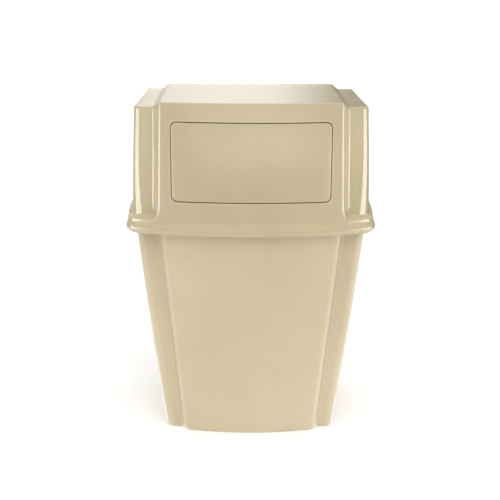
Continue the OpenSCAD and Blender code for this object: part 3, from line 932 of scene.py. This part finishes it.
# The springs: a short leg under the bracket's foot, the coil round the rod, and a long leg on the door's back
def spring_points():
    """The wire's middle, from the end of the short leg to the end of the long one, from the rod's axis."""
    clear = WIRE_R + LEG_GAP
    back = ROD.y - bow_y(ROD.z - LEG_DOWN, COIL_OUT) - DOOR_T - clear
    first = math.pi / 2 + SHORT_LEAN
    last = math.atan2(-LEG_DOWN, -back) - math.acos(COIL_R / math.hypot(back, LEG_DOWN))
    sweep = 2 * math.pi * (COIL_TURNS + 1) + last - first
    count = COIL_STEPS * (COIL_TURNS + 1)
    coil = []
    for k in range(count + 1):
        turned = sweep * k / count
        x = COIL_OUT - COIL_PITCH * turned / (2 * math.pi)
        coil.append(Vector((x, COIL_R * math.cos(first + turned), COIL_R * math.sin(first + turned))))
    short = (FOOT_UP - clear - COIL_R * math.sin(first)) / math.sin(SHORT_LEAN)
    lead = Vector((0, math.cos(SHORT_LEAN), math.sin(SHORT_LEAN)))
    tip = Vector((coil[-1].x, -back, -LEG_DOWN))
    return [coil[0] + short * lead, coil[0] + WIRE_R * lead] + coil + [tip]


def wire_rings(path):
    """Rings of the wire's outline round each point of its path, drawn in at both ends."""
    turns = [2 * math.pi * j / WIRE_SIDES for j in range(WIRE_SIDES + 1)]
    rows = []
    for k, p in enumerate(path):
        along = (path[min(k + 1, len(path) - 1)] - path[max(k - 1, 0)]).normalized()
        outwards = Vector((1, 0, 0)).cross(along).normalized()
        across = along.cross(outwards)
        ring = [WIRE_R * (math.cos(a) * outwards + math.sin(a) * across) for a in turns]
        if 0 < k < len(path) - 1:
            rows.append([p + q for q in ring])
        else:
            way = -1 if k else 1
            tip = [[p + WIRE_TIP_SHARE * q for q in ring], [p + way * WIRE_TIP * along + q for q in ring]]
            rows += tip[::way]
    return rows


def build_spring(side, sign):
    bm = bmesh.new()
    path = spring_points()
    sheet(bm, [[on_side(ROD + p, sign) for p in row] for row in wire_rings(path)])
    merge(bm)
    bmesh.ops.holes_fill(bm, edges=[e for e in bm.edges if e.is_boundary])
    bmesh.ops.recalc_face_normals(bm, faces=bm.faces)
    spring = finished("spring_" + side, bm, spring_steel, None, ["torsion_spring_" + side])
    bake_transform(spring)


def build_bosses():
    """The four bosses that the brackets are screwed up against, each with its blind bore."""
    top = TOP_Z - HOOD_WALL + BOSS_ROOT
    profile = [(0, top), (BOSS_R, top), (BOSS_R, BOSS_LOW + BOSS_CHAMFER), (BOSS_R - BOSS_CHAMFER, BOSS_LOW),
               (BOSS_BORE_R, BOSS_LOW), (BOSS_BORE_R, top - BOSS_ROOF), (0, top - BOSS_ROOF)]
    bm = bmesh.new()
    for x, y in boss_places:
        verts = [bm.verts.new((x + r, y, z)) for r, z in profile]
        line = [bm.edges.new(pair) for pair in zip(verts, verts[1:])]
        bmesh.ops.spin(bm, geom=verts + line, cent=(x, y, 0), axis=(0, 0, 1), angle=2 * math.pi, steps=32,
                       use_merge=True, dvec=(0, 0, 0))
    merge(bm)
    bmesh.ops.recalc_face_normals(bm, faces=bm.faces)
    flat_shaded_flats(finished("screw_bosses", bm, hood_plastic, "hood"))


def dress(material, *names):
    """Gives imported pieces, which keep their shape, their finish."""
    for name in names:
        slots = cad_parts[name].data.materials
        slots.clear()
        slots.append(material)


build_hood()
build_bosses()
build_container()
build_door()
build_spring("left", -1)
build_spring("right", 1)
dress(zinc_steel, "hinge_rod", "hinge_bracket_left", "hinge_bracket_right", "bracket_screws",
      "rod_clip_left", "rod_clip_right")
dress(stop_rubber, "stop_pad_left", "stop_pad_right")


# The stage: a pale floor, soft studio lights and the photograph's camera
FLOOR_GLOW = 0.18
# What the part's gloss sees of the room: its walls, its ceiling, the bright wall behind the part's left
# half, and the floor near the part and to its left and right
ROOM = 0.12
OVERHEAD = 0.8
BRIGHT_WALL = 1.1
NEAR_FLOOR = 2.2
LEFT_FLOOR, RIGHT_FLOOR = 1.4, 2.3


def pale_floor():
    bm = bmesh.new()
    bmesh.ops.create_grid(bm, x_segments=1, y_segments=1, size=60)
    mesh = bpy.data.meshes.new("floor")
    bm.to_mesh(mesh)
    bm.free()
    material = bpy.data.materials.new("pale_floor")
    material.use_nodes = True
    tree = material.node_tree
    feed(tree, tree.nodes["Principled BSDF"], {
        "Base Color": (0.9, 0.9, 0.895, 1), "Roughness": 0.7, "Specular IOR Level": 0.1,
        "Emission Color": (1, 1, 1, 1), "Emission Strength": FLOOR_GLOW})
    mesh.materials.append(material)
    floor = placed("floor", mesh)
    floor.visible_glossy = False


def turned_from(lamp, source):
    """Turns a lamp to shine away from the direction of its source."""
    lamp.rotation_euler = (-source).to_track_quat("-Z", "Y").to_euler()


def gloss_panel(name, width, height, place, radiance):
    """A softbox that faces the part and shows in its gloss only."""
    data = bpy.data.lights.new(name, "AREA")
    data.shape = "RECTANGLE"
    data.size, data.size_y = width, height
    data.energy = radiance * math.pi * width * height
    lamp = placed(name, data)
    lamp.location = place
    turned_from(lamp, Vector((place[0], place[1], 0)))
    lamp.visible_diffuse = False
    lamp.visible_camera = False


def soft_sun(elevation, azimuth, width, strength):
    """The broad main light, from the front and above, even over the whole floor."""
    data = bpy.data.lights.new("main_light", "SUN")
    data.energy = strength
    data.angle = math.radians(width)
    lamp = placed("main_light", data)
    up, round_z = math.radians(elevation), math.radians(azimuth)
    across, ahead = math.sin(round_z) * math.cos(up), math.cos(round_z) * math.cos(up)
    turned_from(lamp, Vector((across, -ahead, math.sin(up))))
    lamp.visible_glossy = False


def bright_room():
    """The pale room, as light by direction: x to the right, y to the back and z up, each from -1 to 1."""
    world = bpy.data.worlds.new("pale_room")
    bpy.context.scene.world = world
    world.use_nodes = True
    tree = world.node_tree
    parts = tree.nodes.new("ShaderNodeSeparateXYZ")
    feed(tree, parts, {"Vector": add_node(tree, "TexCoord", "Generated", {})})
    x, y, z = parts.outputs

    def fade(source, low, high, start, end):
        return ramp(tree, source, low, high, start, end, "SMOOTHSTEP")

    def joined(kind, first, *others):
        for other in others:
            first = add_node(tree, "Math", "Value", {0: first, 1: other}, operation=kind)
        return first

    # The bright wall is behind the part, dimmer far to the left, and ends right of the middle and above
    across = joined("DIVIDE", x, joined("MAXIMUM", y, 0.01))
    wall = joined("MULTIPLY", fade(across, 0.02, 0.12, 1, 0), fade(across, -0.2, -0.03, 0.55, 1),
                  fade(y, 0.3, 0.6, 0, 1), fade(z, 0.35, 0.6, 1, 0), BRIGHT_WALL)
    room = fade(z, 0.15, 0.5, ROOM, OVERHEAD)
    # The floor shows in the gloss where it is near, more so beside the part, and less right under it
    near = fade(z, -0.62, -0.36, NEAR_FLOOR, 0)
    beside = joined("ADD", fade(x, 0.28, 0.65, 0, RIGHT_FLOOR), fade(x, -0.65, -0.28, LEFT_FLOOR, 0))
    beside = joined("MULTIPLY", beside, fade(z, -0.36, -0.22, 1, 0), fade(z, -0.64, -0.44, 0.3, 1))
    ground = joined("MULTIPLY", joined("ADD", near, beside), fade(z, -0.92, -0.7, 0.25, 1))
    # The backdrop itself is white, and the part's gloss sees the room round it
    backdrop = add_node(tree, "LightPath", "Is Camera Ray", {})
    light = joined("MAXIMUM", joined("ADD", wall, joined("ADD", room, ground)), backdrop)
    feed(tree, tree.nodes["Background"], {"Strength": light, "Color": (1, 1, 1, 1)})


def studio():
    bright_room()
    soft_sun(elevation=62, azimuth=10, width=50, strength=1.3)
    for name, x in (("left_panel", -1.516), ("right_panel", 1.516)):
        gloss_panel(name, width=1.6, height=0.7, place=(x, -0.756, 0.25), radiance=9.5)
    gloss_panel("front_panel", width=1.6, height=0.5, place=(0, -2.2, 0.5), radiance=1.8)


def photo_camera():
    """The camera that was fitted to edges in the photograph."""
    place = Vector((-0.0141, -1.6978, 0.8218))
    focal_pixels, frame_pixels, sensor = 950.06, 500, 36
    pitch, yaw, roll = math.radians(16.243), math.radians(0.464), math.radians(0.291)
    forward = Vector((math.sin(yaw) * math.cos(pitch), math.cos(yaw) * math.cos(pitch), -math.sin(pitch)))
    level = Vector((math.cos(yaw), -math.sin(yaw), 0))
    above = level.cross(forward)
    right = math.cos(roll) * level + math.sin(roll) * above
    up = -math.sin(roll) * level + math.cos(roll) * above
    data = bpy.data.cameras.new("camera")
    data.sensor_width = sensor
    data.lens = focal_pixels / frame_pixels * sensor
    camera = placed("camera", data)
    turn = Matrix((right, up, -forward)).transposed().to_4x4()
    camera.matrix_world = Matrix.Translation(place) @ turn
    bpy.context.scene.camera = camera


pale_floor()
studio()
photo_camera()
bpy.context.scene.view_settings.view_transform = "Standard"
